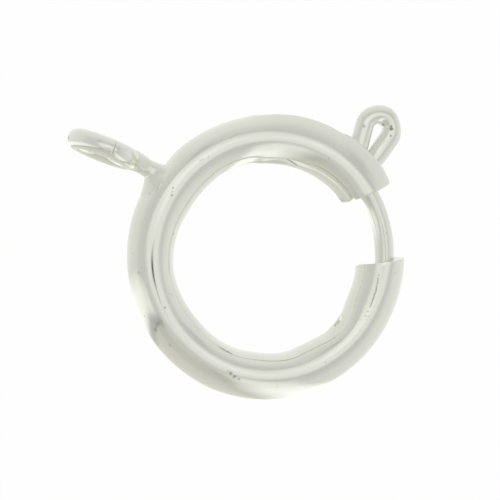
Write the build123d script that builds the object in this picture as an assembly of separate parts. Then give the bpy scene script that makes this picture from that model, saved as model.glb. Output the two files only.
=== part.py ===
from build123d import *
import os
from math import asin, atan2, cos, degrees, hypot, pi, radians, sin, sqrt

# Spring ring clasp for a fine chain. Lengths are millimetres and angles are degrees.
# Origin: the centre of the ring, halfway up its tube. +Z is the ring's axis, and +X runs through
# the middle of the gate. Angles run counter-clockwise round +Z, and every piece is placed by them.

# ---- the ring: a strip rolled into a tube, with its seam left open, and bent into a C
tube_centre_radius = 2.5
tube_diameter = 1.0
tube_wall = 0.16
gate_angle = 34.4  # between the middles of the two mouths
mouth_lean = 10.0  # how far each mouth is cut to lean over the gate on its outer side
seam_lift = 25.0  # how far above the inner equator the seam lies, round the tube's section
seam_width = 0.045

# ---- the crimp: a dimple punched into the inner side, for the spring to stand against
crimp_angle = 303.1
crimp_punch_diameter = 0.24
crimp_depth = 0.22
crimp_wall = 0.10  # the strip thins where it is stretched over the punch

# ---- the sliding wire: tongue, trigger loop and tail, bent from one length
wire_diameter = 0.40
tongue_clearance = 0.06  # between the tongue, which springs outwards, and the tube's outer wall
tongue_entry = 0.40  # how deep the tongue stands in the far mouth
tip_chamfer = 0.06
leg_angle = 26.3  # where the first leg of the trigger leaves the tube
leg_lean = 12.9  # how far that leg leans away from the gate
leg_bend_radius = 0.25
leg_gap = 0.012  # between the two legs where they pinch together
pinch_height = 0.07  # above the tube
pinch_bend_radius = 0.30
loop_height = 0.66  # above the tube, along the first leg
loop_radius = 0.298
tail_end_angle = 125.0

# ---- the slot that the trigger slides in
travel = 42.0
slot_width = 0.48
slot_roundness = 0.98  # the corner radius at its ends, as a share of half its width
stop_clearance = 0.010

# ---- the return spring
spring_wire = 0.12
spring_centre_diameter = 0.44
spring_turns = 24
spring_end_pitch = 0.14  # the turn at each end is closed
spring_seat_gap = 0.010

# ---- the eye: a wire ring stood across the clasp, with its butt joint, and the solder that holds it
eye_angle = 128.3
eye_turn = 14.6  # out of the radial direction
eye_lean = 3.0  # out of the upright, towards the gate
eye_outer_diameter = 1.64
eye_wire = 0.42
eye_standoff = 0.415
joint_angle = 93.0  # round the eye, from its far side over the top
joint_gap = 0.02
solder_foot_radius = 0.42
solder_waist_radius = 0.22
solder_head_radius = 0.24
solder_waist = 0.7  # where the waist is, as a share of the way from the tube to the eye
solder_grip = 0.16  # how far the solder climbs over the eye's wire

# ---- what follows from these
tube_radius = tube_diameter / 2
bore_radius = tube_radius - tube_wall
ring_outer_radius = tube_centre_radius + tube_radius
ring_inner_radius = tube_centre_radius - tube_radius
wire_radius = wire_diameter / 2
mouth = gate_angle / 2
past_mouth = tube_diameter * sin(radians(mouth_lean))  # more than the lean reaches
leg_pitch = wire_diameter + leg_gap
tongue_radius = tube_centre_radius + bore_radius - wire_radius - tongue_clearance
eye_centre_radius = (eye_outer_diameter - eye_wire) / 2


def polar(radius, angle):
    """A point in the ring's plane."""
    return Vector(radius * cos(radians(angle)), radius * sin(radians(angle)))


def angle_of(point):
    """The direction of a point from the ring's centre, from 0 to 360."""
    return degrees(atan2(point.Y, point.X)) % 360


def arc_angle(length, radius=tube_centre_radius):
    """The angle that a length takes up along the tube."""
    return degrees(length / radius)


def section_plane(angle, radius=0.0):
    """The plane that cuts the tube at an angle: its x points outwards and its y up."""
    return Plane(origin=polar(radius, angle), x_dir=polar(1, angle), z_dir=polar(1, angle - 90))


# ---------------------------------------------------------------- the run of the sliding wire

leg_foot = polar(ring_outer_radius, leg_angle)
leg_direction = polar(1, leg_angle + leg_lean)
leg_side = polar(1, leg_angle + leg_lean + 90)  # from the first leg towards the second


def beside_leg(along, aside):
    """A point measured along the first leg from the tube's surface, and aside towards the second."""
    return leg_foot + leg_direction * along + leg_side * aside


def leg_meets(radius, aside):
    """The point at which a line beside the first leg crosses a circle round the ring's centre."""
    start = beside_leg(0, aside)
    toward = start.dot(leg_direction)
    along = -toward + sqrt(toward**2 - start.dot(start) + radius**2)
    return beside_leg(along, aside)


def wire_bends():
    """The bends that the wire follows from the tongue to the tail, as (centre, radius).
    A radius is positive where the wire turns left, and negative where it turns right."""
    tongue_orbit = tongue_radius + leg_bend_radius
    tail_orbit = tube_centre_radius + leg_bend_radius
    return [
        (Vector(0, 0), tongue_radius),
        (leg_meets(tongue_orbit, -leg_bend_radius), -leg_bend_radius),
        (beside_leg(loop_height, loop_radius), loop_radius),
        (beside_leg(pinch_height, leg_pitch + pinch_bend_radius), -pinch_bend_radius),
        (leg_meets(tail_orbit, leg_pitch + leg_bend_radius), -leg_bend_radius),
        (Vector(0, 0), tube_centre_radius),
    ]


def heading_between(first, second):
    """The direction of the straight run from one bend to the next."""
    (start, start_radius), (end, end_radius) = first, second
    apart = end - start
    ratio = (end_radius - start_radius) / hypot(apart.X, apart.Y)
    return degrees(atan2(apart.Y, apart.X)) - degrees(asin(max(-1.0, min(1.0, ratio))))


def wire_route(tip_angle, tail_angle):
    """The centreline of the wire: an arc for each bend, with straight runs between them."""
    bends = wire_bends()
    headings = [tip_angle + 90]
    headings += [heading_between(a, b) for a, b in zip(bends, bends[1:])]
    headings += [tail_angle + 90]
    pieces = []
    for (centre, radius), arriving, leaving in zip(bends, headings, headings[1:]):
        left = radius > 0
        turn = (leaving - arriving) % 360 if left else -((arriving - leaving) % 360)
        begins = arriving - 90 if left else arriving + 90
        arc = CenterArc(centre, abs(radius), begins, turn)
        if pieces and (pieces[-1] @ 1 - arc @ 0).length > 1e-6:
            pieces.append(Line(pieces[-1] @ 1, arc @ 0))
        pieces.append(arc)
    return Wire([piece.edge() for piece in pieces])


tip_angle = -mouth - arc_angle(tongue_entry)


def tongue_wire():
    """The tongue, the trigger loop and the tail."""
    route = wire_route(tip_angle, tail_end_angle)
    section = Plane(origin=route @ 0, z_dir=route % 0) * Circle(wire_radius)
    wire = sweep(section, path=route)
    ends = wire.faces().filter_by(GeomType.PLANE)
    tip = ends.sort_by_distance(route @ 0)[0]
    return chamfer(tip.edges(), tip_chamfer)


# ---------------------------------------------------------------- the ring


def slot_reach():
    """The first and last angle of the slot, at which the trigger's legs stop."""
    inner, outer = tube_centre_radius + bore_radius, ring_outer_radius
    first = min(angle_of(leg_meets(r, -wire_radius)) for r in (inner, outer))
    last = max(angle_of(leg_meets(r, leg_pitch + wire_radius)) for r in (inner, outer))
    spare = arc_angle(stop_clearance, ring_outer_radius)
    return first - spare, last + travel + spare


def along_tube(section, beyond):
    """A section bent round from one mouth to the other, and some way beyond the middle of each."""
    spare = arc_angle(beyond)
    start = section_plane(mouth - spare, tube_centre_radius)
    return revolve(start * section, axis=Axis.Z, revolution_arc=360 - gate_angle + 2 * spare)


def open_gate():
    """What the two leaning cuts take out of the ring: a prism that narrows outwards."""
    reach = tube_radius + tube_wall
    corners = []
    for side, ends in ((1, (-reach, reach)), (-1, (reach, -reach))):
        middle = polar(tube_centre_radius, side * mouth)
        along_cut = polar(1, side * (mouth - mouth_lean))
        corners += [middle + along_cut * end for end in ends]
    return extrude(make_face(Polyline(*corners, close=True)), reach, both=True)


def open_seam():
    """What the seam leaves open, where the edges of the rolled strip don't quite meet."""
    middle = Location((0, 0), -seam_lift) * Pos(-(bore_radius + tube_radius) / 2, 0)
    return along_tube(middle * Rectangle(2 * tube_wall, seam_width), beyond=past_mouth + tube_wall)


def trigger_slot():
    """What the slot takes out of the outer wall: a curved band with its ends rounded."""
    first, last = slot_reach()
    depth = tube_centre_radius + bore_radius / 2
    reach = ring_outer_radius + tube_wall
    band = Pos((depth + reach) / 2, 0) * Rectangle(reach - depth, slot_width)
    slot = revolve(section_plane(first) * band, axis=Axis.Z, revolution_arc=last - first)
    corners = slot.edges().filter_by(GeomType.LINE).filter_by(Axis.Z, reverse=True)
    return fillet(corners, slot_roundness * slot_width / 2)


def ball_nosed_pin(angle, radius, nose):
    """A round-nosed pin that points outwards from inside the ring, with its nose at a radius."""
    foot = ring_inner_radius - tube_wall
    straight = nose - radius - foot
    shank = Plane(origin=polar(foot, angle), z_dir=polar(1, angle)) * Circle(radius)
    return extrude(shank, straight) + Pos(polar(nose - radius, angle)) * Sphere(radius)


def crimp_reach():
    """How far the crimp's inner bump reaches along the tube, to each side."""
    return arc_angle(crimp_punch_diameter / 2 + crimp_wall, ring_inner_radius + crimp_depth)


def ring_tube():
    """The C-shaped tube with its seam, slot and crimp."""
    punch_radius = crimp_punch_diameter / 2
    nose = ring_inner_radius + crimp_depth
    bore = along_tube(Circle(bore_radius), beyond=past_mouth + tube_wall)
    bore -= ball_nosed_pin(crimp_angle, punch_radius + crimp_wall, nose + crimp_wall)
    tube = along_tube(Circle(tube_radius), beyond=past_mouth) - bore - open_gate()
    tube -= ball_nosed_pin(crimp_angle, punch_radius, nose)
    tube -= open_seam()
    return tube - trigger_slot()


# ---------------------------------------------------------------- the return spring


def spring_angle(turn, start, end):
    """Where along the tube the coil is after so many turns. The first and last turns are closed."""
    closed = arc_angle(spring_end_pitch)
    if turn <= 1:
        return start + closed * turn
    if turn >= spring_turns - 1:
        return end - closed * (spring_turns - turn)
    open_turn = (end - start - 2 * closed) / (spring_turns - 2)
    return start + closed + open_turn * (turn - 1)


def return_spring():
    """The coil between the tail and the crimp, wound round the tube's own curve.
    Its fine wire is drawn with flats: straight steps round each turn, and a section with sides
    that keeps the area of the round wire."""
    steps_per_turn, wire_sides = 12, 6
    seat = arc_angle(spring_wire / 2 + spring_seat_gap)
    start, end = tail_end_angle + seat, crimp_angle - crimp_reach() - seat
    coil_radius = spring_centre_diameter / 2
    points = []
    for step in range(spring_turns * steps_per_turn + 1):
        turn = step / steps_per_turn
        out = tube_centre_radius - coil_radius * cos(2 * pi * turn)
        along = polar(out, spring_angle(turn, start, end))
        points.append(along + Vector(0, 0, coil_radius * sin(2 * pi * turn)))
    centreline = Polyline(*points)
    corner_radius = spring_wire / sqrt(2 * wire_sides / pi * sin(2 * pi / wire_sides))
    at_end = Plane(origin=centreline @ 0, z_dir=centreline % 0)
    section = at_end * RegularPolygon(corner_radius, wire_sides)
    return sweep(section, path=centreline, transition=Transition.RIGHT)


# ---------------------------------------------------------------- the eye and its solder

eye_foot = polar(ring_outer_radius, eye_angle)
eye_direction = polar(1, eye_angle + eye_turn)
eye_side = polar(1, eye_angle + eye_turn - 90)
eye_up = Vector(0, 0, cos(radians(eye_lean))) + eye_side * sin(radians(eye_lean))
eye_middle = eye_foot + eye_direction * (eye_standoff + eye_outer_diameter / 2)
eye_plane = Plane(origin=eye_middle, x_dir=eye_direction, z_dir=eye_direction.cross(eye_up))
eye_axis = Axis(eye_middle, eye_plane.z_dir)


def eye_ring():
    """The wire ring, closed to a butt joint."""
    open_angle = degrees(joint_gap / eye_centre_radius)
    first_end = radians(joint_angle + open_angle / 2)
    outward = eye_direction * cos(first_end) + eye_up * sin(first_end)
    along = eye_direction * -sin(first_end) + eye_up * cos(first_end)
    end_face = Plane(origin=eye_middle, x_dir=outward, z_dir=along)
    wire = end_face * Pos(eye_centre_radius, 0) * Circle(eye_wire / 2)
    return revolve(wire, axis=eye_axis, revolution_arc=360 - open_angle)


def eye_solder():
    """The neck of solder, hollowed to seat on the tube and round the eye's wire."""
    foot, head = -tube_wall, eye_standoff + solder_grip
    with BuildPart() as neck:
        with BuildSketch(Plane(origin=eye_foot, x_dir=eye_direction, z_dir=eye_plane.z_dir)):
            with BuildLine():
                flare = ThreePointArc(
                    (foot, solder_foot_radius),
                    (solder_waist * eye_standoff, solder_waist_radius),
                    (head, solder_head_radius),
                )
                Polyline(flare @ 0, (foot, 0), (head, 0), flare @ 1)
            make_face()
        revolve(axis=Axis(eye_foot, eye_direction), revolution_arc=360)
    tube_body = Torus(tube_centre_radius, tube_radius)
    eye_body = eye_plane * Torus(eye_centre_radius, eye_wire / 2)
    return neck.part - tube_body - eye_body


# ---------------------------------------------------------------- write the pieces

PIECES = {
    "ring_tube": ring_tube,
    "tongue_wire": tongue_wire,
    "return_spring": return_spring,
    "eye_ring": eye_ring,
    "eye_solder": eye_solder,
}


def main():
    os.makedirs("parts", exist_ok=True)
    for name, make in PIECES.items():
        solid = make().solids()
        if len(solid) != 1:
            raise ValueError(f"{name} should be one solid, and is {len(solid)}")
        solid[0].label = name
        export_step(solid[0], f"parts/{name}.step")
    first, last = slot_reach()
    print(f"slot from {first:.2f} to {last:.2f}, tongue tip at {tip_angle:.2f}")
    print(f"eye middle at {eye_middle.X:.4f}, {eye_middle.Y:.4f}")


if __name__ == "__main__":
    main()
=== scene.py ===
"""Dresses the spring ring clasp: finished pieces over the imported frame, a pale stage and the camera.

Lengths in the settings are metres. The pieces are modelled in millimetres and brought to metres
once they are done. Angles round the ring are counter-clockwise from +X, which runs through the
middle of the gate. Angles round a tube's section start at its outer side and go over its top.
"""

from math import asin, atan2, ceil, cos, degrees, hypot, pi, radians, sin, sqrt

import bmesh
import bpy
from bpy.props import FloatProperty, FloatVectorProperty, IntProperty, PointerProperty
from mathutils import Matrix, Vector, noise


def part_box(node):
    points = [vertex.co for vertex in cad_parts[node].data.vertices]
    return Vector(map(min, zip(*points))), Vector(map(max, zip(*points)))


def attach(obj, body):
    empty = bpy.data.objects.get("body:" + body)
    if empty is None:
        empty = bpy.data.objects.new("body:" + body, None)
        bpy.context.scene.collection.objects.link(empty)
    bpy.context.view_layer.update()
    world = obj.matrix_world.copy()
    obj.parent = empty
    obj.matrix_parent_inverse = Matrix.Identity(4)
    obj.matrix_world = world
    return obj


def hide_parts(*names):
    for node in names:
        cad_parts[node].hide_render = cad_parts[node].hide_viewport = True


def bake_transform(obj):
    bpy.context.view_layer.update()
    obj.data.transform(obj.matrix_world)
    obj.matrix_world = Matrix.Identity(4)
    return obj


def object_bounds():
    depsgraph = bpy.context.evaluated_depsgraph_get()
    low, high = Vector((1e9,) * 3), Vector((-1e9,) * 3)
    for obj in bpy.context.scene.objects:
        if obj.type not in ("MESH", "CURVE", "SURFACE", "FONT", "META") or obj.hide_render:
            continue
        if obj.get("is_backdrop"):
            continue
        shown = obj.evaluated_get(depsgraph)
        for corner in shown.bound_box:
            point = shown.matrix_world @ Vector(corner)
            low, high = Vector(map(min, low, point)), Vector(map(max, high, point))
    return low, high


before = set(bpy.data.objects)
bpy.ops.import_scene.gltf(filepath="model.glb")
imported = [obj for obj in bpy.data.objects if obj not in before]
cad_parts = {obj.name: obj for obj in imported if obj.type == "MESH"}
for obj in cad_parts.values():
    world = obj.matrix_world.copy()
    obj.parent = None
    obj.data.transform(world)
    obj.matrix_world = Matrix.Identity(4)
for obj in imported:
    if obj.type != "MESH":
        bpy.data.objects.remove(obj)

bl_info = {
    "name": "Spring Ring Clasp",
    "version": (1, 0, 0),
    "blender": (4, 5, 0),
    "location": "3D View > Sidebar > Clasp",
    "description": "Builds the finished pieces of a spring ring clasp over its frame",
    "category": "Object",
}

MM = 0.001
UP = Vector((0, 0, 1))
CLOSE = 1e-5  # points nearer than this, in millimetres, are one point
TUBE_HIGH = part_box("ring_tube")[1]
EYE_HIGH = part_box("eye_ring")[1]
WIRE_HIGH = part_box("tongue_wire")[1]


def length(name, description, millimetres):
    """A length that a user may change, given in millimetres and kept in metres."""
    return FloatProperty(
        name=name, description=description, default=millimetres * MM, unit="LENGTH", precision=6
    )


def angle(name, description, turn):
    """An angle that a user may change, given in degrees."""
    return FloatProperty(
        name=name, description=description, default=radians(turn), unit="ROTATION"
    )


def share(name, description, value):
    """A plain number that a user may change."""
    return FloatProperty(name=name, description=description, default=value, precision=3)


def colour(name, description, value):
    """A colour that a user may change."""
    return FloatVectorProperty(
        name=name, description=description, default=value, subtype="COLOR", size=3, min=0, max=1
    )


# ---------------- settings


class ClaspTubeSettings(bpy.types.PropertyGroup):
    """Sizes of the rolled tube"""

    section_radius: length("Section radius", "Half of the tube's thickness", TUBE_HIGH.z / MM)
    outer_radius: length("Outer radius", "Half of the ring's width", TUBE_HIGH.y / MM)
    wall: length("Wall", "Thickness of the rolled strip", 0.16)
    gate: angle("Gate", "Angle between the two mouths", 34.4)
    mouth_lean: angle("Mouth lean", "How far each mouth leans over the gate", 10.0)
    mouth_undercut: length("Mouth undercut", "How far the lower mouth draws back underneath", 0.10)
    slot_start: angle("Slot start", "Where the trigger's slot begins", 21.18)
    slot_end: angle("Slot end", "Where the trigger's slot ends", 80.29)
    slot_width: length("Slot width", "Width of the trigger's slot", 0.48)
    lip_spread: length("Lip spread", "How far the slot's lips are pushed outwards", 0.145)
    edge_radius: length("Edge radius", "How far the strip's edges are rounded", 0.022)
    crimp_angle: angle("Crimp", "Where the spring's stop is punched in", 303.1)
    crimp_depth: length("Crimp depth", "How deep the stop is punched", 0.22)
    crimp_width: length("Crimp width", "Width of the punched dimple", 0.24)


class ClaspWireSettings(bpy.types.PropertyGroup):
    """Sizes of the sliding wire"""

    radius: length("Wire radius", "Half of the wire's thickness", 0.20)
    tongue_radius: length("Tongue radius", "Radius of the tongue's centreline", 2.58)
    tongue_entry: length("Tongue entry", "How deep the tongue stands in the far mouth", 0.40)
    tip_chamfer: length("Tip chamfer", "Size of the chamfer on the tongue's tip", 0.06)
    leg_angle: angle("Leg angle", "Where the trigger's first leg leaves the tube", 26.3)
    leg_lean: angle("Leg lean", "How far the first leg leans away from the gate", 12.9)
    leg_bend: length("Leg bend", "Inner bend radius at the foot of each leg", 0.25)
    leg_gap: length("Leg gap", "Gap between the legs where they pinch together", 0.012)
    pinch_height: length("Pinch height", "Height of the pinch above the tube", 0.07)
    pinch_bend: length("Pinch bend", "Bend radius at the pinch", 0.30)
    loop_height: length("Loop height", "Height of the loop above the tube", 0.66)
    loop_radius: length("Loop radius", "Bend radius of the loop", 0.298)
    tail_end: angle("Tail end", "Where the tail ends inside the tube", 125.0)
    flattening: length("Flattening", "How far the loop's pressed flank spreads outwards", 0.036)


class ClaspSpringSettings(bpy.types.PropertyGroup):
    """Sizes of the return spring"""

    wire: length("Spring wire", "Thickness of the spring's wire", 0.12)
    coil: length("Coil", "Width of the coil, from wire centre to wire centre", 0.44)
    turns: IntProperty(name="Turns", description="Number of turns", default=24, min=4)
    end_pitch: length("End pitch", "Pitch of the closed turn at each end", 0.14)
    start: angle("Start", "Where the spring begins, at the tail", 126.6)
    end: angle("End", "Where the spring ends, at the crimp", 294.9)


class ClaspEyeSettings(bpy.types.PropertyGroup):
    """Sizes of the eye and its solder"""

    foot: angle("Eye foot", "Where the eye stands on the tube", 128.3)
    turn: angle("Eye turn", "How far the eye is turned out of the radial direction", 14.6)
    lean: angle("Eye lean", "How far the eye leans out of the upright", 3.0)
    outer_radius: length("Eye radius", "Half of the eye's width", EYE_HIGH.z / MM)
    wire: length("Eye wire", "Thickness of the eye's wire", 0.42)
    standoff: length("Standoff", "Gap between tube and eye that the solder bridges", 0.415)
    joint: angle("Joint", "Where the eye's butt joint is, round from its far side", 93.0)
    tip_flattening: share("Tip flattening", "How much the eye is shortened towards its tip", 0.045)
    joint_gap: length("Joint gap", "Width of the butt joint", 0.002)
    waist: length("Solder waist", "Radius of the solder at its waist", 0.172)
    foot_flow: length("Foot flow", "How far the solder flows along the tube", 0.50)
    head_flow: length("Head flow", "How far the solder flows along the eye", 0.15)


class ClaspFinishSettings(bpy.types.PropertyGroup):
    """Colours and finishes"""

    plate: colour("Plate", "Colour of the plated metal", (0.94, 0.945, 0.90))
    steel: colour("Steel", "Colour of the spring", (0.52, 0.52, 0.50))
    # The dark colour of the tarnish spots, which also paints the dark reflection line along the tube's
    # crown.
    tarnish_and_painted_reflection: colour("Tarnish", "Colour of the dark marks", (0.14, 0.14, 0.11))
    pitting: share("Pitting", "Strength of the small pits", 0.35)
    roughness: share("Roughness", "Roughness of the polished metal", 0.10)


class ClaspStageSettings(bpy.types.PropertyGroup):
    """The floor, the surroundings and the camera"""

    view_azimuth: angle("View azimuth", "Direction that the camera leans to", 152.2)
    view_height: angle("View height", "How high the camera stands above the ring's plane", 75.0)
    view_roll: angle("View roll", "Direction in which the camera's lean shows, from its right", 167.0)
    view_width: length("View width", "Width of the view at the clasp", 10.48)
    aim_right: length("Aim right", "How far the clasp sits right of the middle", 0.346)
    aim_down: length("Aim down", "How far the clasp sits below the middle", 0.140)
    lens: share("Lens", "Focal length of the camera", 250.0)
    surroundings: share("Surroundings", "Brightness of the studio's surroundings", 1.0)


# ---------------- working helpers


def settings(name):
    """The values of one settings group, with lengths in millimetres and angles in radians."""
    group = getattr(bpy.context.scene, "clasp_" + name)
    values = {}
    for key, prop in group.bl_rna.properties.items():
        if key in ("rna_type", "name"):
            continue
        value = getattr(group, key)
        values[key] = value / MM if getattr(prop, "unit", "") == "LENGTH" else value
    return type("Values", (), values)


def polar(radius, turn, height=0.0):
    """A point given by its radius and angle round the ring."""
    return Vector((radius * cos(turn), radius * sin(turn), height))


def smooth(low, high, value):
    """0 below low, 1 above high, and an even curve between them."""
    t = max(0.0, min(1.0, (value - low) / (high - low)))
    return t * t * (3 - 2 * t)


def between(table, value):
    """Reads a short table of (place, amount) along a smooth curve through its places."""
    if value <= table[0][0]:
        return table[0][1]
    if value >= table[-1][0]:
        return table[-1][1]
    i = next(i for i in range(len(table) - 1) if value <= table[i + 1][0])
    (x0, y0), (x1, y1) = table[i], table[i + 1]
    before, after = table[max(i - 1, 0)], table[min(i + 2, len(table) - 1)]
    width = x1 - x0
    rise = (y1 - y0) / width
    slope_in = (y1 - before[1]) / (x1 - before[0]) if i else rise
    slope_out = (after[1] - y0) / (after[0] - x0) if i + 2 < len(table) else rise
    t = (value - x0) / width
    return (
        y0 * (1 + 2 * t) * (1 - t) ** 2 + y1 * t * t * (3 - 2 * t)
        + width * (slope_in * t * (1 - t) ** 2 + slope_out * t * t * (t - 1))
    )


def spin(bm, geom, centre, axis, turn, steps, climb=(0, 0, 0)):
    """Spins geometry round an axis and returns what it ends as."""
    made = bmesh.ops.spin(
        bm, geom=geom, cent=centre, axis=axis, dvec=climb, angle=turn, steps=steps
    )
    return made["geom_last"]


def push(bm, geom, by):
    """Extrudes geometry straight by a vector and returns what it ends as."""
    faces = [g for g in geom if isinstance(g, bmesh.types.BMFace)]
    made = bmesh.ops.extrude_face_region(bm, geom=faces)["geom"]
    bmesh.ops.translate(bm, verts=[g for g in made if isinstance(g, bmesh.types.BMVert)], vec=by)
    bmesh.ops.delete(bm, geom=[f for f in faces if f.is_valid], context="FACES")
    return made


def round_off(bm, edges, size, clamp=False):
    """Rounds edges off, and keeps the rounding from running into itself if clamped."""
    bmesh.ops.bevel(
        bm, geom=edges, offset=size, segments=3, profile=0.5, affect="EDGES", material=-1,
        clamp_overlap=clamp,
    )


def sharp_edges(bm, turn):
    """The edges where two faces meet at more than an angle, in degrees."""
    return [e for e in bm.edges if len(e.link_faces) == 2 and e.calc_face_angle(0) > radians(turn)]


def placed(origin, x_axis, z_axis):
    """The matrix of a plane with its x along one direction and its normal along another."""
    z = Vector(z_axis).normalized()
    x = Vector(x_axis).normalized()
    y = z.cross(x)
    matrix = Matrix((x, y, z)).transposed().to_4x4()
    matrix.translation = origin
    return matrix


def added(name, data):
    """A new object in the scene."""
    made = bpy.data.objects.new(name, data)
    bpy.context.scene.collection.objects.link(made)
    return made


def finish_piece(bm, name, material, body, replaced):
    """Turns a mesh in millimetres into a finished piece that rides on its body, if it has one."""
    bmesh.ops.remove_doubles(bm, verts=bm.verts, dist=CLOSE)
    bmesh.ops.recalc_face_normals(bm, faces=bm.faces)
    bmesh.ops.scale(bm, vec=(MM, MM, MM), verts=bm.verts)
    mesh = bpy.data.meshes.new(name)
    bm.to_mesh(mesh)
    bm.free()
    if not mesh.polygons:
        raise RuntimeError(f"{name} came out empty")
    mesh.shade_smooth()
    mesh.materials.append(material)
    piece = added(name, mesh)
    if body:
        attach(piece, body)
    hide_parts(replaced)
    return piece


# ---------------- materials


def node(tree, kind, inputs=(), **values):
    """Adds a node, sets its values and fills or links its inputs."""
    made = tree.nodes.new(kind)
    for key, value in values.items():
        setattr(made, key, value)
    for key, value in dict(inputs).items():
        if isinstance(value, bpy.types.NodeSocket):
            tree.links.new(value, made.inputs[key])
        else:
            made.inputs[key].default_value = value
    return made


def ramp(tree, factor, stops):
    """A colour ramp with the given (position, grey or colour) stops."""
    made = node(tree, "ShaderNodeValToRGB", {"Fac": factor})
    elements = made.color_ramp.elements
    while len(elements) < len(stops):
        elements.new(0.5)
    for element, (position, value) in zip(elements, stops):
        element.position = position
        rgb = value if isinstance(value, tuple) else (value,) * 3
        element.color = (*rgb, 1)
    return made.outputs["Color"]


def maths(tree, operation, *values):
    """The result of a sum on numbers or sockets."""
    return node(tree, "ShaderNodeMath", dict(enumerate(values)), operation=operation).outputs[0]


def mapped(tree, value, low, high, at_low=0.0, at_high=1.0, curve="SMOOTHSTEP"):
    """A value brought from one range to another, and held at its ends."""
    return node(
        tree, "ShaderNodeMapRange",
        {"Value": value, "From Min": low, "From Max": high, "To Min": at_low, "To Max": at_high},
        interpolation_type=curve,
    ).outputs[0]


def blended(tree, factor, under, over, blend_type="MIX"):
    """One colour laid over another by a factor."""
    return node(
        tree, "ShaderNodeMix", {"Factor": factor, "A": under, "B": over},
        data_type="RGBA", blend_type=blend_type,
    ).outputs["Result"]


# How fine each kind of mark is, in waves to the metre.
DENTS, DULL_PATCHES, PITS, LINES, RAGGED = 1300.0, 2600.0, 9500.0, 22000.0, 30000.0
STRAY = 3e-5  # how far the edge of a dark spot strays, in metres
MARK_DULLNESS = 0.35  # how much rougher the plate is where it is dark


def grain(tree, place, scale, detail, output="Fac"):
    """Noise of one fineness, given as waves to the metre."""
    made = node(tree, "ShaderNodeTexNoise", {"Vector": place, "Scale": scale, "Detail": detail})
    return made.outputs[output]


def darkening(tree, place, pitting, spots):
    """How dark the plate is: fine pits everywhere, and ragged spots where they are set; on the tube
    these include a dark line of painted reflection.
    """
    darkness = ramp(tree, grain(tree, place, PITS, 2.0), [(0.70, 0.0), (0.80, pitting)])
    strayed = node(
        tree, "ShaderNodeVectorMath",
        {0: grain(tree, place, RAGGED, 3.0, "Color"), 1: (2 * STRAY,) * 3, 2: place},
        operation="MULTIPLY_ADD",
    ).outputs[0]
    for point, radius, strength in spots:
        centre = tuple(c * MM + STRAY for c in point)
        away = node(tree, "ShaderNodeVectorMath", {0: strayed, 1: centre}, operation="DISTANCE")
        edge = radius * MM
        spot = mapped(tree, away.outputs["Value"], edge / 2, edge, strength, 0.0)
        darkness = maths(tree, "MAXIMUM", darkness, spot)
    return darkness


def relief(tree, place, scratch):
    """The normal of soft dents with fine polishing lines on them, each with its depth in metres."""
    inputs = {"Strength": 1.0}
    for scale, detail, depth in ((DENTS, 1.0, 3.0e-6), (LINES, 2.0, 1.2e-7)):
        inputs["Height"] = grain(tree, place, scale, detail)
        inputs["Distance"] = depth * scratch
        inputs["Normal"] = node(tree, "ShaderNodeBump", inputs).outputs[0]
    return inputs["Normal"]


def plated_metal(name, base="plate", wear=1.0, scratch=1.0, spots=()):
    """Polished plate: soft dents, fine polishing lines, dull patches, small pits and dark spots, and
    on the tube a dark line of painted reflection.
    The wear multiplies its roughness, and a spot is a point, a radius and a strength."""
    finish = settings("finish")
    roughness = finish.roughness * wear
    material = bpy.data.materials.new(name)
    material.use_nodes = True
    tree = material.node_tree
    shader = tree.nodes["Principled BSDF"]
    place = node(tree, "ShaderNodeTexCoord").outputs["Object"]
    darkness = darkening(tree, place, finish.pitting, spots)
    # The dark colour laid over the plate: tarnish, and on the tube also a painted reflection.
    shade = blended(tree, darkness, (*getattr(finish, base), 1), (*finish.tarnish_and_painted_reflection, 1))
    dull = grain(tree, place, DULL_PATCHES, 3.0)
    patchy = mapped(tree, dull, 0.3, 0.7, roughness * 0.8, roughness * 1.5, "LINEAR")
    rough = maths(tree, "MULTIPLY_ADD", darkness, MARK_DULLNESS, patchy)
    tree.links.new(shade, shader.inputs["Base Color"])
    tree.links.new(rough, shader.inputs["Roughness"])
    tree.links.new(relief(tree, place, scratch), shader.inputs["Normal"])
    shader.inputs["Metallic"].default_value = 1.0
    return material


# ---------------- the tube


def section_of(tube, point):
    """Ring angle, section angle and section radius of a point near the tube."""
    middle = tube.outer_radius - tube.section_radius
    out = hypot(point.x, point.y) - middle
    return atan2(point.y, point.x) % (2 * pi), atan2(point.z, out), hypot(out, point.z)


def on_section(tube, ring_angle, section_angle, radius):
    """The point at a ring angle, a section angle and a section radius."""
    out = tube.outer_radius - tube.section_radius + radius * cos(section_angle)
    return polar(out, ring_angle, radius * sin(section_angle))


# By the angle round the ring in degrees: the section angles of the seam's two lips, how far the
# slot's upper and lower lips are spread, and how far the inner and outer walls stand in.
UPPER_SEAM = (
    (17, 130), (30, 129), (45, 129.5), (57, 134), (65, 140), (75, 150), (88, 161), (100, 170),
    (130, 203), (343, 203),
)
LOWER_SEAM = (
    (17, 145), (30, 145.5), (45, 147), (57, 153), (65, 160), (75, 165.5), (88, 169.5),
    (100, 174), (130, 206), (343, 206),
)
UPPER_LIP = (
    (15, 0.45), (22, 0.9), (40, 1.0), (44.5, 0.64), (55, 0.6), (66, 0.5), (75, 0.25), (84, 0.0),
    (90, 0.0),
)
LOWER_LIP = (
    (15, 0.45), (22, 0.9), (48, 1.0), (54, 0.70), (66, 0.5), (75, 0.25), (84, 0.0), (90, 0.0),
)
INNER_WALL = (
    (15, 0.005), (30, 0.008), (45, 0.030), (58, 0.043), (79, 0.040), (85, 0.002), (105, 0.0),
    (115, 0.024), (135, 0.040), (150, 0.0), (172, -0.026), (190, 0.0), (207, 0.022), (217, 0.0),
    (235, -0.024), (250, -0.018), (262, -0.045), (270, -0.050), (277, -0.030), (287, -0.045),
    (295, -0.078), (305, -0.080), (311, -0.045), (317, 0.0), (332, 0.012), (343, 0.02),
)
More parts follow.
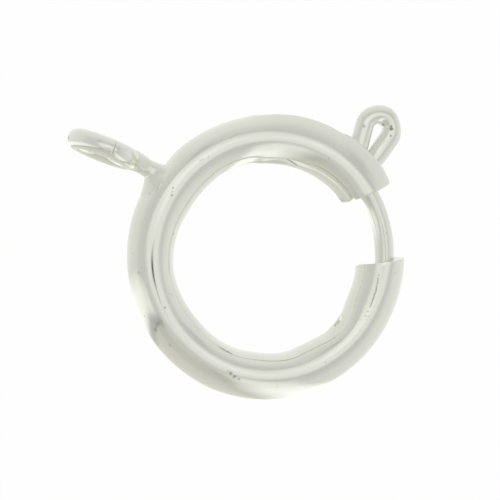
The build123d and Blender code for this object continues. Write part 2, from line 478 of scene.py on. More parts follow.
OUTER_WALL = (
    (68, 0.0), (76, 0.012), (84, 0.036), (92, 0.044), (104, 0.055), (116, 0.062), (120, 0.08),
    (123.5, 0.09), (129, 0.06), (135, 0.02), (145, 0.0), (170, 0.022), (190, 0.026),
    (205, 0.022), (225, 0.012), (250, 0.0), (343, 0.0),
)

# Dark marks as ring angle and section angle in degrees, radius and strength.
TUBE_SPOTS = (
    (235.0, 84, 0.05, 0.50), (237.2, 80, 0.05, 0.52), (239.5, 77, 0.035, 0.35),
    (233.6, 86, 0.03, 0.30), (194.2, 57, 0.07, 0.42), (193.8, 67, 0.04, 0.28),
    (196.2, 41, 0.065, 0.42), (195.0, 49, 0.05, 0.35), (171.0, 46, 0.05, 0.22),
    (130.8, 79, 0.035, 0.38), (133.8, 86, 0.035, 0.38), (132.4, 82, 0.025, 0.3),
    (189.0, 89, 0.04, 0.35), (45.2, 102, 0.03, 0.25),
    (300.5, 160, 0.06, 0.5), (295.8, 138, 0.06, 0.42), (205.0, 52, 0.045, 0.25),
    (22.5, 31, 0.04, 0.4), (25.0, 29, 0.05, 0.5), (33.5, 30, 0.05, 0.45), (36.0, 34, 0.035, 0.4),
)
# A painted reflection: a dark broken line along the crown behind the lower mouth, standing in for the
# camera's dark lens mirrored in the polished tube.
PAINTED_REFLECTION_LINE = tuple(
    (336.0 - step, 107.8 - 0.19 * step, 0.026, 0.30 + 0.30 * sin(pi * step / 22))
    for step in (0.0, *range(2, 18), 19.5, 22.0)
)
# Where the seam is when the sheet is first drawn.
SEAM, HALF_SEAM = radians(155), radians(3)
# How far round the section from its outer side, in degrees, a spread lip and the outer wall's
# inset still show, and where the inner wall's inset begins and is whole.
LIP_REACH, OUTER_REACH, INNER_REACH = 66, 75, (100, 165)
UNEVENNESS, UNEVEN_SCALE = 0.006, 1.1


def tube_sheet(tube, bm):
    """The strip's outer skin as a grid: rolled round the section, then bent round the ring."""
    half_slot = asin(tube.slot_width / 2 / tube.section_radius)
    middle = tube.outer_radius - tube.section_radius
    start = tube.gate / 2
    centre = polar(middle, start)
    round_section = polar(1, start - pi / 2)
    first = centre + section_point(tube, start, SEAM + HALF_SEAM)
    chain = bmesh.ops.create_vert(bm, co=first)["vert"]
    edge_step = radians(6)
    lower = 2 * pi - half_slot - (SEAM + HALF_SEAM)
    upper = SEAM - HALF_SEAM - half_slot
    # Each row as its turn and steps, with one narrow step at every edge.
    rows = (
        (edge_step, 1), (lower - 2 * edge_step, 40), (edge_step, 1), (2 * half_slot, 10),
        (edge_step, 1), (upper - 2 * edge_step, 44), (edge_step, 1),
    )
    for turn, steps in rows:
        chain = spin(bm, chain, centre, round_section, turn, steps)
    geom = list(bm.verts) + list(bm.edges)
    slot_round = asin(tube.slot_width / 2 / tube.outer_radius)
    crimp = radians(7)  # a finer grid this far on each side of the crimp
    spans = (
        (tube.slot_start - start, 3),
        (slot_round, 5),
        (tube.slot_end - tube.slot_start - 2 * slot_round, 32),
        (slot_round, 5),
        (tube.crimp_angle - crimp - tube.slot_end, 118),
        (2 * crimp, 24),
        (2 * pi - start - tube.crimp_angle - crimp, 18),
    )
    for turn, steps in spans:
        geom = spin(bm, geom, (0, 0, 0), UP, turn, steps)
    return half_slot


def section_point(tube, ring_angle, section_angle):
    """From the section's middle to its skin."""
    out = cos(section_angle) * tube.section_radius
    return polar(out, ring_angle, sin(section_angle) * tube.section_radius)


def cut_slot(tube, bm, half_slot):
    """Takes the slot's faces out of the skin."""
    gone = []
    for face in bm.faces:
        ring_angle, section_angle, _ = section_of(tube, face.calc_center_median())
        if tube.slot_start < ring_angle < tube.slot_end and abs(section_angle) < half_slot:
            gone.append(face)
    bmesh.ops.delete(bm, geom=gone, context="FACES")


def shape_skin(tube, bm, half_slot):
    """Leans the mouths, rounds the slot's ends, runs the seam, spreads the lips, sets the walls'
    unevenness and punches the crimp."""
    for vert in bm.verts:
        ring_angle, section_angle, radius = section_of(tube, vert.co)
        ring_angle += slot_bow(tube, ring_angle, section_angle)
        at = degrees(ring_angle)
        section_angle = seam_run(at, section_angle % (2 * pi))
        out = cos(section_angle) * radius
        ring_angle += mouth_lean(tube, ring_angle, out, sin(section_angle) * radius)
        point = on_section(tube, ring_angle, section_angle, radius)
        aside = degrees(abs((section_angle + pi) % (2 * pi) - pi))
        lip = UPPER_LIP if point.z > 0 else LOWER_LIP
        facing = min(1.0, max(0.0, (LIP_REACH - aside) / (LIP_REACH - degrees(half_slot))))
        shift = tube.lip_spread * between(lip, at) * facing**1.3
        shift -= between(INNER_WALL, at) * smooth(*INNER_REACH, aside)
        shift -= between(OUTER_WALL, at) * (1 - smooth(0, OUTER_REACH, aside))
        shift += crimp_hollow(tube, point)
        shift += UNEVENNESS * noise.noise(point * UNEVEN_SCALE)
        rise = UNEVENNESS * noise.noise(point * UNEVEN_SCALE + UP * 9)
        vert.co = point + polar(1, ring_angle) * shift + UP * rise


def slot_bow(tube, ring_angle, section_angle):
    """How far a point moves round the ring so that the slot's ends come out round."""
    reach = tube.slot_width / 2
    inside = 0.85  # how far inside the slot's end its bow fades out
    if abs(section_angle) > pi / 2:
        return 0.0
    height = abs(tube.section_radius * sin(section_angle))
    if height <= reach + 1e-6:
        bow = reach - sqrt(max(0.0, reach**2 - height**2))
    else:  # fading out towards the tube's top and underside
        bow = reach * (1 - smooth(reach, tube.section_radius * 0.97, height))
    turned = 0.0
    # Each end of the slot: which way it bows, and how much room the bow has beyond it to fade.
    for end, way, room in ((tube.slot_start, 1, 0.18), (tube.slot_end, -1, 0.9)):
        along = (ring_angle - end) * way * tube.outer_radius
        hold = 1 - smooth(0, room, -along) if along < 0 else 1 - smooth(0, inside, along)
        turned += way * bow * hold / tube.outer_radius
    return turned


def seam_run(at, section_angle):
    """Where a point's section angle goes as the seam wanders and opens."""
    if section_angle < SEAM:
        near = smooth(radians(60), SEAM - HALF_SEAM, section_angle)
        return section_angle + (radians(between(UPPER_SEAM, at)) - SEAM + HALF_SEAM) * near
    near = smooth(radians(290), SEAM + HALF_SEAM, section_angle)
    return section_angle + (radians(between(LOWER_SEAM, at)) - SEAM - HALF_SEAM) * near


def mouth_lean(tube, ring_angle, out, height):
    """How far a point moves round the ring so that the mouths lean over the gate, and the lower
    mouth also draws back underneath."""
    middle = tube.outer_radius - tube.section_radius
    lean = atan2(out * sin(tube.mouth_lean), middle + out * cos(tube.mouth_lean))
    room = radians(3.8 if out > 0 else 9.0)  # the slot leaves less room on the outer side
    half = tube.gate / 2
    upper = 1 - smooth(half, half + room, ring_angle)
    lower = smooth(2 * pi - half - room, 2 * pi - half, ring_angle)
    below = smooth(0.5, -0.5, height / tube.section_radius)  # 1 underneath and 0 on top
    under = tube.mouth_undercut * below / middle
    return lean * (lower - upper) - lower * under * (1 - smooth(0, tube.section_radius, out))


def crimp_hollow(tube, point):
    """How far the punch has pushed a point of the inner wall outwards, and its rim inwards."""
    radial = polar(1, tube.crimp_angle)
    across = polar(1, tube.crimp_angle + pi / 2)
    if point.dot(radial) < 0 or hypot(point.x, point.y) > tube.outer_radius - tube.section_radius:
        return 0.0
    away = hypot(point.dot(across), point.z)
    punch = tube.crimp_width / 2
    rim_height = 0.012
    # The hollow, and the rim round it, by the distance in half widths of the punch.
    hollow = 0.9 * (1 - smooth(0.2 * punch, 1.35 * punch, away))
    rim = smooth(punch, 1.4 * punch, away) - smooth(1.5 * punch, 2.2 * punch, away)
    return tube.crimp_depth * hollow - rim_height * rim


def build_tube():
    """The rolled C-shaped tube with its seam, slot and crimp."""
    tube = settings("tube")
    bm = bmesh.new()
    half_slot = tube_sheet(tube, bm)
    cut_slot(tube, bm, half_slot)
    shape_skin(tube, bm, half_slot)
    bmesh.ops.remove_doubles(bm, verts=bm.verts, dist=10 * CLOSE)
    bmesh.ops.recalc_face_normals(bm, faces=bm.faces)
    face_outwards(bm)
    outside = set(bm.verts)
    bmesh.ops.solidify(bm, geom=list(bm.faces), thickness=tube.wall)
    turn_lip_in(tube, bm, outside)
    bm.normal_update()
    bmesh.ops.recalc_face_normals(bm, faces=bm.faces)
    round_off(bm, sharp_edges(bm, 50), tube.edge_radius, clamp=True)
    # Tarnish spots, and along the crown a dark line of painted reflection of the camera's lens.
    spots = [
        (on_section(tube, radians(ring), radians(section), tube.section_radius), radius, strength)
        for ring, section, radius, strength in TUBE_SPOTS + PAINTED_REFLECTION_LINE
    ]
    skin = plated_metal("Polished tube plate", spots=spots)
    return finish_piece(bm, "Tube", skin, "ring", "ring_tube")


def turn_lip_in(tube, bm, outside):
    """Slants the end face of the seam's lower lip up, where the seam stands open."""
    slant, lift = 0.42, 0.033  # as a share of the gape, and in millimetres
    for vert in bm.verts:
        if vert in outside:
            continue
        ring_angle, section_angle, radius = section_of(tube, vert.co)
        at = degrees(ring_angle)
        lip = between(LOWER_SEAM, at)
        gape = lip - between(UPPER_SEAM, at)
        beyond = degrees(section_angle % (2 * pi)) - lip
        # Only within nine degrees of the lip, and where the seam gapes by more than four.
        near = (1 - smooth(1.0, 9.0, abs(beyond))) * smooth(4, 8, gape)
        if near > 0:
            turned = section_angle - radians(gape * slant) * near
            vert.co = on_section(tube, ring_angle, turned, radius + lift * near)


def face_outwards(bm):
    """Turns the skin so that its faces look away from the section's middle."""
    face = max(bm.faces, key=lambda f: f.calc_center_median().z)
    if face.normal.z < 0:
        bmesh.ops.reverse_faces(bm, faces=list(bm.faces))


# ---------------- the sliding wire


# About how long each piece of a straight run and of a bend is.
PUSH_LENGTH, STEP_LENGTH = 0.05, 0.045
# Dark marks on the trigger loop as x, y, radius and strength, all at one height.
WIRE_SPOTS = (
    (3.250, 1.916, 0.05, 0.72), (3.255, 1.965, 0.04, 0.6), (3.200, 1.785, 0.035, 0.6),
    (2.683, 2.131, 0.045, 0.35),
)
SPOT_HEIGHT = 0.18


def wire_bends(tube, wire):
    """The bends that the wire follows from tongue to tail, as (centre, radius): the tongue, a foot,
    the loop, the pinch, a foot and the tail. A radius is positive where the wire turns left."""
    middle = tube.outer_radius - tube.section_radius
    foot = polar(tube.outer_radius, wire.leg_angle)
    lean = wire.leg_angle + wire.leg_lean
    along, aside = polar(1, lean), polar(1, lean + pi / 2)
    pitch = 2 * wire.radius + wire.leg_gap

    def beside(up, over):
        """A point up along the first leg and aside from it."""
        return foot + along * up + aside * over

    def meets(radius, over):
        """The point aside from the first leg that lies on a circle round the ring's axis."""
        start = beside(0, over)
        toward = start.dot(along)
        return beside(-toward + sqrt(toward**2 - start.dot(start) + radius**2), over)

    return [
        (Vector((0, 0, 0)), wire.tongue_radius),
        (meets(wire.tongue_radius + wire.leg_bend, -wire.leg_bend), -wire.leg_bend),
        (beside(wire.loop_height, wire.loop_radius), wire.loop_radius),
        (beside(wire.pinch_height, pitch + wire.pinch_bend), -wire.pinch_bend),
        (meets(middle + wire.leg_bend, pitch + wire.leg_bend), -wire.leg_bend),
        (Vector((0, 0, 0)), middle),
    ]


def heading_between(first, second):
    """The direction of the straight run from one bend to the next."""
    apart = second[0] - first[0]
    ratio = (second[1] - first[1]) / apart.length
    return atan2(apart.y, apart.x) - asin(max(-1.0, min(1.0, ratio)))


def build_wire():
    """The tongue, the trigger loop and the tail, bent from one length of wire."""
    tube, wire = settings("tube"), settings("wire")
    bends = wire_bends(tube, wire)
    middle = tube.outer_radius - tube.section_radius
    reach = wire.tongue_radius
    tip = -tube.gate / 2 - wire.tongue_entry / middle
    headings = [tip + pi / 2]
    headings += [heading_between(a, b) for a, b in zip(bends, bends[1:])]
    headings += [wire.tail_end + pi / 2]
    bm = bmesh.new()
    start = placed(polar(reach, tip), UP, polar(1, headings[0]))
    bmesh.ops.create_circle(bm, cap_ends=True, radius=wire.radius, segments=32, matrix=start)
    tip_edges = [v.co.copy() for v in bm.verts]
    geom = list(bm.faces)
    end = polar(reach, tip)
    for (centre, radius), arriving, leaving in zip(bends, headings, headings[1:]):
        left = radius > 0
        begins = centre + polar(abs(radius), arriving - pi / 2 if left else arriving + pi / 2)
        run = begins - end
        if run.length > CLOSE:
            pieces = max(1, round(run.length / PUSH_LENGTH))
            for _ in range(pieces):
                geom = push(bm, geom, run / pieces)
        turn = (leaving - arriving) % (2 * pi) if left else -((arriving - leaving) % (2 * pi))
        steps = max(2, ceil(abs(turn) * max(abs(radius), wire.radius) / STEP_LENGTH))
        geom = spin(bm, geom, centre, UP, turn, steps)
        end = centre + Matrix.Rotation(turn, 3, "Z") @ (begins - centre)
    bmesh.ops.remove_doubles(bm, verts=bm.verts, dist=CLOSE)
    flatten_loop(tube, wire, bends, bm)
    corner = {tuple(round(c, 4) for c in p) for p in tip_edges}
    rim = [
        e for e in bm.edges
        if all(tuple(round(c, 4) for c in v.co) in corner for v in e.verts)
    ]
    round_off(bm, rim, wire.tip_chamfer)
    spots = [
        (Vector((x, y, SPOT_HEIGHT)), radius, strength) for x, y, radius, strength in WIRE_SPOTS
    ]
    skin = plated_metal("Polished wire plate", wear=1.6, spots=spots)
    return finish_piece(bm, "Sliding_wire", skin, "tongue", "tongue_wire")


def flatten_loop(tube, wire, bends, bm):
    """Presses the loop flat on its outer flank, where it is bent, so that it spreads outwards."""
    loop = bends[2][0]
    # The way along the legs, the way out of their flank, and where the press bears hardest.
    leg = polar(1, wire.leg_angle + radians(5))
    flank_way = polar(1, wire.leg_angle - radians(85))
    worst = polar(1, wire.leg_angle - radians(50))
    thinning = 2.2  # how much thinner the wire gets for each part that it spreads
    for vert in bm.verts:
        above = smooth(0.02, 0.25, hypot(vert.co.x, vert.co.y) - tube.outer_radius)
        away = vert.co - loop
        away.z = 0
        round_bend = away.dot(leg) > 0
        way = away.normalized() if round_bend else flank_way
        distance = away.dot(way)
        flank = above * smooth(-0.5, 0.9, way.dot(worst)) if round_bend or distance > 0 else 0.0
        outer = smooth(wire.loop_radius - 0.05, wire.loop_radius + wire.radius, distance)
        vert.co += way * wire.flattening * flank * outer
        vert.co.z *= 1 - thinning * wire.flattening * flank
    # What would pass the solid's own width is drawn back evenly, over a short band.
    clearance, band = 0.002, 0.12
    widest = max(vert.co.x for vert in bm.verts)
    limit = WIRE_HIGH.x / MM - clearance
    held = limit - band
    for vert in bm.verts:
        if vert.co.x > held and widest > limit:
            vert.co.x = held + (vert.co.x - held) * (limit - held) / (widest - held)


# ---------------- the return spring


def build_spring():
    """The coil, wound straight and then bent round the tube, that shortens as the trigger opens."""
    tube, spring = settings("tube"), settings("spring")
    middle = tube.outer_radius - tube.section_radius
    run = (spring.end - spring.start) * middle
    steps = 16  # for each turn
    bm = bmesh.new()
    at = placed((0, spring.coil / 2, 0), (1, 0, 0), (0, 0, 1))
    bmesh.ops.create_circle(bm, cap_ends=True, radius=spring.wire / 2, segments=8, matrix=at)
    geom = list(bm.faces)
    open_turns = spring.turns - 2
    pitch = (run - 2 * spring.end_pitch) / open_turns
    for turns, climb in ((1, spring.end_pitch), (open_turns, pitch), (1, spring.end_pitch)):
        geom = spin(
            bm, geom, (0, 0, 0), (1, 0, 0), 2 * pi * turns, steps * turns, (climb / steps, 0, 0)
        )
    for vert in bm.verts:
        along, out, height = vert.co
        vert.co = polar(middle + out, spring.start + along / middle, height)
    steel = plated_metal("Spring steel", "steel", wear=2.8)
    piece = finish_piece(bm, "Return_spring", steel, None, "return_spring")
    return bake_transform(piece)


# ---------------- the eye and its solder


def eye_frame(tube, eye):
    """The eye's foot on the tube, the directions away from it, across it and up, and the middle."""
    foot = polar(tube.outer_radius, eye.foot)
    away = polar(1, eye.foot + eye.turn)
    across = polar(1, eye.foot + eye.turn - pi / 2)
    rise = UP * cos(eye.lean) + across * sin(eye.lean)
    return foot, away, across, rise, foot + away * (eye.standoff + eye.outer_radius)


def build_eye():
    """The wire ring that the chain hangs on, closed to a butt joint."""
    tube, eye = settings("tube"), settings("eye")
    foot, away, across, rise, middle = eye_frame(tube, eye)
    bend = eye.outer_radius - eye.wire / 2
    open_turn = eye.joint_gap / bend
    first = eye.joint + open_turn / 2
    out = away * cos(first) + rise * sin(first)
    along = rise * cos(first) - away * sin(first)
    bm = bmesh.new()
    at = placed(middle + out * bend, out, along)
    bmesh.ops.create_circle(bm, cap_ends=True, radius=eye.wire / 2, segments=36, matrix=at)
    axis = out.cross(along)
    spin(bm, list(bm.faces), middle, axis, 2 * pi - open_turn, 120)
    bmesh.ops.remove_doubles(bm, verts=bm.verts, dist=CLOSE)
    joint_rounding = 0.024
    round_off(bm, sharp_edges(bm, 60), joint_rounding)
    for vert in bm.verts:
        along = (vert.co - foot).dot(away) - eye.standoff
        vert.co -= away * (along * eye.tip_flattening)
    tip = foot + away * (eye.standoff + 2 * eye.outer_radius * (1 - eye.tip_flattening))
    tip += UP * 0.02 - across * 0.07  # a little up and aside, where the camera sees it
    skin = plated_metal("Polished eye plate", wear=1.3, spots=[(tip, 0.055, 0.6)])
    return finish_piece(bm, "Eye", skin, "ring", "eye_ring")


def tube_height(tube, foot, away, across, aside, up):
    """How far along the eye's direction the tube's skin lies, beside the neck's middle."""
    middle = tube.outer_radius - tube.section_radius
    start = foot + across * aside
    toward = start.dot(away)
    height = 0.0
    for _ in range(3):  # each time nearer, as the wall's inset depends on the height
        at = start + away * height
        section = degrees(asin(min(1.0, abs(up) / tube.section_radius)))
        inset = between(OUTER_WALL, degrees(atan2(at.y, at.x) % (2 * pi)))
        inset *= 1 - smooth(0, OUTER_REACH, section)
        reach = middle + sqrt(max(1e-6, tube.section_radius**2 - up**2)) - inset
        height = -toward + sqrt(max(0.0, toward**2 - start.dot(start) + reach**2))
    return height


def eye_height(eye, aside, up):
    """How far along the eye's direction the eye's wire lies, beside the neck's middle."""
    wire = eye.wire / 2
    bend = eye.outer_radius - wire
    reach = bend + sqrt(max(1e-6, wire**2 - aside**2))
    return eye.standoff + eye.outer_radius - sqrt(max(1e-6, reach**2 - up**2))


SUNK = 0.012  # how far the solder's skin lies inside the metal that it wets
FAR_SWELL = 0.15  # how much thicker the neck is on the side away from the gate


def solder_foot(tube, eye, turn, bow):
    """A point of the solder below its waist, as how far it lies across, up and away. The bow is 0
    at the waist and a quarter turn at the tube."""
    foot, away, across = eye_frame(tube, eye)[:3]
    toward_gate = 0.07  # the share of the flow that goes this way
    climb, fillet = 0.16, 0.035
    far_side = max(0.0, -cos(turn))
    flow_along = eye.foot_flow * (toward_gate if cos(turn) > 0 else 1.0)
    flow = hypot(flow_along * cos(turn), climb * sin(turn))
    out = eye.waist * (1 + FAR_SWELL * far_side) + flow * (1 - cos(bow))
    aside, up = out * cos(turn), out * sin(turn)
    skin = tube_height(tube, foot, away, across, aside, up)
    height = skin * sin(bow) ** 0.5 + eye.standoff / 2 * (1 - sin(bow))
    return aside, up, height + fillet * far_side * sin(2 * bow) - SUNK


def solder_head(eye, turn, bow):
    """The same above the waist, where the bow is a quarter turn at the eye."""
    near_gate, far_side = max(0.0, cos(turn)), max(0.0, -cos(turn))
    half = eye.standoff / 2
    spread, gate_swell, far_draw = 0.02, 0.36, 0.25
    flow = hypot(spread * cos(turn), eye.head_flow * sin(turn))
    swell = gate_swell * near_gate * sin(1.75 * bow) + far_side * (FAR_SWELL - far_draw * sin(bow))
    out = eye.waist * (1 + swell) + flow * (1 - cos(bow))
    aside, up = out * cos(turn), out * sin(turn)
    skin = eye_height(eye, aside, up)
    return aside, up, half + (skin - half) * sin(bow) ** 1.4 + SUNK * sin(bow)


def build_solder():
    """The neck of solder, flowed out over the tube and round the eye's wire."""
    tube, eye = settings("tube"), settings("eye")
    foot, away, across = eye_frame(tube, eye)[:3]
    bm = bmesh.new()
    rings = 14  # on each side of the waist
    foot_tuck, head_tuck = 0.06, 0.08  # how deep its first and last rings hide in tube and eye
    at = placed(foot, across, away)
    bmesh.ops.create_circle(bm, cap_ends=False, radius=1.0, segments=48, matrix=at)
    loop = list(bm.edges)
    loops = [list(bm.verts)]
    for _ in range(2 * rings):
        made = bmesh.ops.extrude_edge_only(bm, edges=loop)["geom"]
        loop = [g for g in made if isinstance(g, bmesh.types.BMEdge)]
        loops.append([g for g in made if isinstance(g, bmesh.types.BMVert)])
    for index, ring in enumerate(loops):
        bow = pi / 2 * abs(index - rings) / rings
        for vert in ring:
            flat = vert.co - foot
            turn = atan2(flat.dot(UP), flat.dot(across))
            if index <= rings:
                aside, up, height = solder_foot(tube, eye, turn, bow)
            else:
                aside, up, height = solder_head(eye, turn, bow)
            if index == 0:
                height -= foot_tuck
            elif index == 2 * rings:
                aside *= 0.8
                height += head_tuck
            vert.co = foot + across * aside + UP * up + away * height
    bmesh.ops.smooth_vert(
        bm, verts=[v for ring in loops[1:-1] for v in ring], factor=0.5,
        use_axis_x=True, use_axis_y=True, use_axis_z=True,
    )
    skin = plated_metal("Flowed solder", wear=2.6, scratch=2.0)
    return finish_piece(bm, "Solder_neck", skin, "ring", "eye_solder")


# ---------------- the stage


def view_axes(stage):
    """The camera's right, up and backward directions."""
    lean = Vector((cos(stage.view_azimuth), sin(stage.view_azimuth), 0))
    back = lean * cos(stage.view_height) + UP * sin(stage.view_height)
    first = lean * sin(stage.view_height) - UP * cos(stage.view_height)
    second = UP.cross(lean)
    right = first * cos(stage.view_roll) - second * sin(stage.view_roll)
    up = first * sin(stage.view_roll) + second * cos(stage.view_roll)
    return right, up, back


def build_camera():
    """The camera, with a long lens, at the clasp's own viewing angle."""
    stage = settings("stage")
    right, up, back = view_axes(stage)
    data = bpy.data.cameras.new("Camera")
    data.lens = stage.lens
    data.sensor_width = 36.0
    data.clip_start, data.clip_end = 0.001, 10.0
    camera = added("Camera", data)
    aim = (up * stage.aim_down - right * stage.aim_right) * MM
    distance = stage.view_width * MM * stage.lens / data.sensor_width
    camera.matrix_world = placed(aim + back * distance, right, back)
    bpy.context.scene.camera = camera


def build_floor():
    """A white floor that the clasp lies on, and that keeps its shadow."""
    bm = bmesh.new()
    half_width, clearance = 0.6, 2e-6
    bmesh.ops.create_grid(bm, x_segments=1, y_segments=1, size=half_width)
    bmesh.ops.translate(bm, verts=bm.verts, vec=(0, 0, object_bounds()[0].z - clearance))
    mesh = bpy.data.meshes.new("Floor")
    bm.to_mesh(mesh)
    bm.free()
    floor = added("Floor", mesh)
    material = bpy.data.materials.new("White floor")
    material.use_nodes = True
    tree = material.node_tree
    tree.nodes.clear()
    matt = node(tree, "ShaderNodeBsdfDiffuse", {"Color": (0.9, 0.9, 0.9, 1)})
    white = node(tree, "ShaderNodeEmission", {"Color": (1, 1, 1, 1), "Strength": 1.0})
    path = node(tree, "ShaderNodeLightPath")
    whiteness = 0.98  # the rest of what the camera sees is the shadow
    seen = maths(tree, "MULTIPLY", path.outputs["Is Camera Ray"], whiteness)
    mix = node(tree, "ShaderNodeMixShader", {0: seen, 1: matt.outputs[0], 2: white.outputs[0]})
    out = node(tree, "ShaderNodeOutputMaterial")
    tree.links.new(mix.outputs[0], out.inputs["Surface"])
    mesh.materials.append(material)
    floor.visible_glossy = False
    floor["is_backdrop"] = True


# Brightness by the angle from the camera's direction, as a share of a half turn.
LEVELS = (
    (0.0, 0.72), (0.28, 0.67), (0.33, 0.71), (0.42, 0.79), (0.50, 0.82), (0.58, 0.84),
    (0.67, 0.87), (0.78, 0.93), (1.0, 1.0),
)
# Brightness of the softbox by the distance from its middle.
SOFTBOX = (
    (0.0, 0.87), (0.30, 0.87), (0.38, 0.83), (0.45, 0.70), (0.53, 0.655), (0.62, 0.665),
    (0.80, 0.70), (1.0, 0.72),
)
SOFTBOX_MIDDLE, SOFTBOX_REACH, SOFTBOX_SPREAD = (12.5, 4), (32.5, 24), 2.5
# Where the softbox gives way to the levels, and the ceiling to the sides, from the camera's
# direction in degrees.
CEILING_EDGE, SIDES_EDGE = (52, 66), (32, 44)
# Patches of the ceiling: middle, half size and turn in degrees, softness and brightness.
PATCHES = (
    ((13, 8), (14, 10), 0, 0.5, 1.0),
    ((-5, 17), (8, 6), 0, 0.5, 0.97),
    ((34, 3), (5, 9), -30, 0.5, 0.95),
    ((-17, -31), (12, 3), 27, 0.3, 0.40),
    ((-4, 40), (8, 11), 20, 0.4, 0.58),
    ((56, 20), (8, 18), -30, 0.4, 0.61),
    ((12.5, -8.5), (6.4, 2.0), -12, 0.7, 0.08),
)
PATCH_EDGE = 1.2  # where a patch has faded out, in its own half sizes
# Brightness or colour of the sides by the angle round the camera's direction, in degrees.
PANELS = (
    (0, (1.02, 1.02, 1.03)), (30, 0.96), (60, 1.04), (110, 1.02), (125, 0.97), (150, 0.99),
    (180, 0.97), (188, 0.92), (194, 1.15), (200, 1.30), (210, 1.30), (213.5, 1.10), (216, 0.66),
    (219, 0.64), (223, (0.84, 0.84, 0.81)), (245, (0.88, 0.88, 0.84)), (262, (0.86, 0.86, 0.82)),
    (272, (0.78, 0.78, 0.74)), (281, 1.14), (288, 1.38), (297, 1.34), (303, 0.92),
    (315, 0.96), (335, 1.0), (360, (1.02, 1.02, 1.03)),
)
PANEL_SWING = 0.37  # how much the panels swing round as they near the ceiling
TINT = tuple(0.887 * c for c in (0.996, 1.002, 0.946))  # the light's strength and colour


def oval(tree, aside, above, centre, reach, turn=0.0):
    """How far a direction lies from the middle of an oval patch, 1 at the patch's edge."""
    x = maths(tree, "SUBTRACT", aside, radians(centre[0]))
    y = maths(tree, "SUBTRACT", above, radians(centre[1]))
    squares = []
    for over, up, half in ((cos(turn), sin(turn), reach[0]), (-sin(turn), cos(turn), reach[1])):
        part = maths(tree, "ADD", maths(tree, "MULTIPLY", x, over), maths(tree, "MULTIPLY", y, up))
        part = maths(tree, "DIVIDE", part, radians(half))
        squares.append(maths(tree, "MULTIPLY", part, part))
    return maths(tree, "SQRT", maths(tree, "ADD", *squares))


def build_surroundings():
    """The studio round the clasp: pale walls, a softbox overhead, a dim side and two bright panels."""
    stage = settings("stage")
    world = bpy.data.worlds.new("Studio")
    bpy.context.scene.world = world
    world.use_nodes = True
    tree = world.node_tree
    tree.nodes.clear()
    toward = node(tree, "ShaderNodeTexCoord").outputs["Generated"]
    along_right, along_up, along_back = (
        node(
            tree, "ShaderNodeVectorMath", {0: toward, 1: tuple(axis)}, operation="DOT_PRODUCT"
        ).outputs["Value"]
        for axis in view_axes(stage)
    )
    from_view = maths(tree, "ARCCOSINE", along_back)  # the angle away from the camera
    round_view = maths(tree, "ARCTAN2", along_up, along_right)
    aside = maths(tree, "MULTIPLY", from_view, maths(tree, "COSINE", round_view))
    above = maths(tree, "MULTIPLY", from_view, maths(tree, "SINE", round_view))
    level = ramp(tree, maths(tree, "DIVIDE", from_view, pi), LEVELS)
    softbox = oval(tree, aside, above, SOFTBOX_MIDDLE, SOFTBOX_REACH)
    softbox = ramp(tree, maths(tree, "DIVIDE", softbox, SOFTBOX_SPREAD), SOFTBOX)
    edge = mapped(tree, from_view, *map(radians, CEILING_EDGE))
    ceiling = blended(tree, edge, softbox, level)
    for centre, reach, turn, soft, value in PATCHES:
        away = oval(tree, aside, above, centre, reach, radians(turn))
        factor = mapped(tree, away, PATCH_EDGE, soft)
        ceiling = blended(tree, factor, ceiling, (value, value, value, 1))
    lag = maths(tree, "MAXIMUM", maths(tree, "SUBTRACT", pi / 2, from_view), 0.0)
    swing = maths(tree, "MULTIPLY", maths(tree, "MULTIPLY", lag, lag), PANEL_SWING)
    turns = maths(tree, "DIVIDE", maths(tree, "SUBTRACT", round_view, swing), 2 * pi)
    whole_turn = maths(tree, "FRACT", maths(tree, "ADD", turns, 1.0))
    panels = ramp(tree, whole_turn, [(place / 360, value) for place, value in PANELS])
    sideways = mapped(tree, from_view, *map(radians, SIDES_EDGE))
    around = blended(tree, sideways, ceiling, panels, "MULTIPLY")
    tinted = blended(tree, 1.0, around, (*TINT, 1), "MULTIPLY")
    path = node(tree, "ShaderNodeLightPath")
    seen = blended(tree, path.outputs["Is Camera Ray"], tinted, (1, 1, 1, 1))
    glow = node(tree, "ShaderNodeBackground", {"Color": seen, "Strength": stage.surroundings})
    out = node(tree, "ShaderNodeOutputWorld")
    tree.links.new(glow.outputs[0], out.inputs["Surface"])


# ---------------- operators and panel


class ClaspTubeOperator(bpy.types.Operator):
    """Build the rolled tube with its seam, slot and crimp"""

    bl_idname = "clasp.tube"
    bl_label = "Tube"

    def execute(self, context):
        build_tube()
        return {"FINISHED"}


class ClaspWireOperator(bpy.types.Operator):
    """Build the sliding wire with its tongue and trigger loop"""

    bl_idname = "clasp.wire"
    bl_label = "Sliding wire"

    def execute(self, context):
        build_wire()
        return {"FINISHED"}


class ClaspSpringOperator(bpy.types.Operator):
    """Build the return spring inside the tube"""

    bl_idname = "clasp.spring"
    bl_label = "Return spring"

    def execute(self, context):
        build_spring()
        return {"FINISHED"}


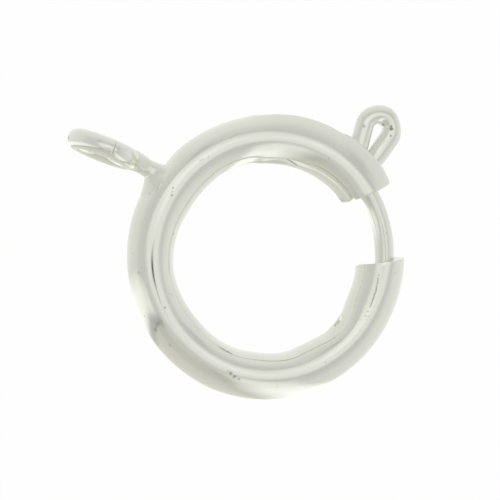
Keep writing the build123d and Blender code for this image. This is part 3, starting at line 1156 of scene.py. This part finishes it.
class ClaspEyeOperator(bpy.types.Operator):
    """Build the eye and the solder that holds it"""

    bl_idname = "clasp.eye"
    bl_label = "Eye and solder"

    def execute(self, context):
        build_eye()
        build_solder()
        return {"FINISHED"}


class ClaspStageOperator(bpy.types.Operator):
    """Build the floor, the surroundings and the camera"""

    bl_idname = "clasp.stage"
    bl_label = "Stage"

    def execute(self, context):
        build_floor()
        build_surroundings()
        build_camera()
        bpy.context.scene.view_settings.view_transform = "Standard"
        return {"FINISHED"}


class ClaspPanel(bpy.types.Panel):
    """Lists the clasp's settings and what builds each piece"""

    bl_idname = "VIEW3D_PT_clasp"
    bl_label = "Spring ring clasp"
    bl_space_type = "VIEW_3D"
    bl_region_type = "UI"
    bl_category = "Clasp"

    def draw(self, context):
        for name in GROUPS:
            box = self.layout.box()
            group = getattr(context.scene, "clasp_" + name)
            for key in group.bl_rna.properties.keys():
                if key not in ("rna_type", "name"):
                    box.prop(group, key)
            if name != "finish":
                box.operator("clasp." + name)


GROUPS = {
    "tube": ClaspTubeSettings,
    "wire": ClaspWireSettings,
    "spring": ClaspSpringSettings,
    "eye": ClaspEyeSettings,
    "finish": ClaspFinishSettings,
    "stage": ClaspStageSettings,
}
CLASSES = (
    *GROUPS.values(), ClaspTubeOperator, ClaspWireOperator, ClaspSpringOperator,
    ClaspEyeOperator, ClaspStageOperator, ClaspPanel,
)


def register():
    """Adds the settings, the operators and the panel to Blender."""
    for entry in CLASSES:
        bpy.utils.register_class(entry)
    for name, group in GROUPS.items():
        setattr(bpy.types.Scene, "clasp_" + name, PointerProperty(type=group))


def unregister():
    """Takes them out again."""
    for name in GROUPS:
        delattr(bpy.types.Scene, "clasp_" + name)
    for entry in reversed(CLASSES):
        bpy.utils.unregister_class(entry)


def main():
    """Builds the dressed clasp."""
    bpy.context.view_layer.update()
    register()
    bpy.ops.clasp.tube()
    bpy.ops.clasp.wire()
    bpy.ops.clasp.spring()
    bpy.ops.clasp.eye()
    bpy.ops.clasp.stage()


if __name__ == "__main__":
    main()
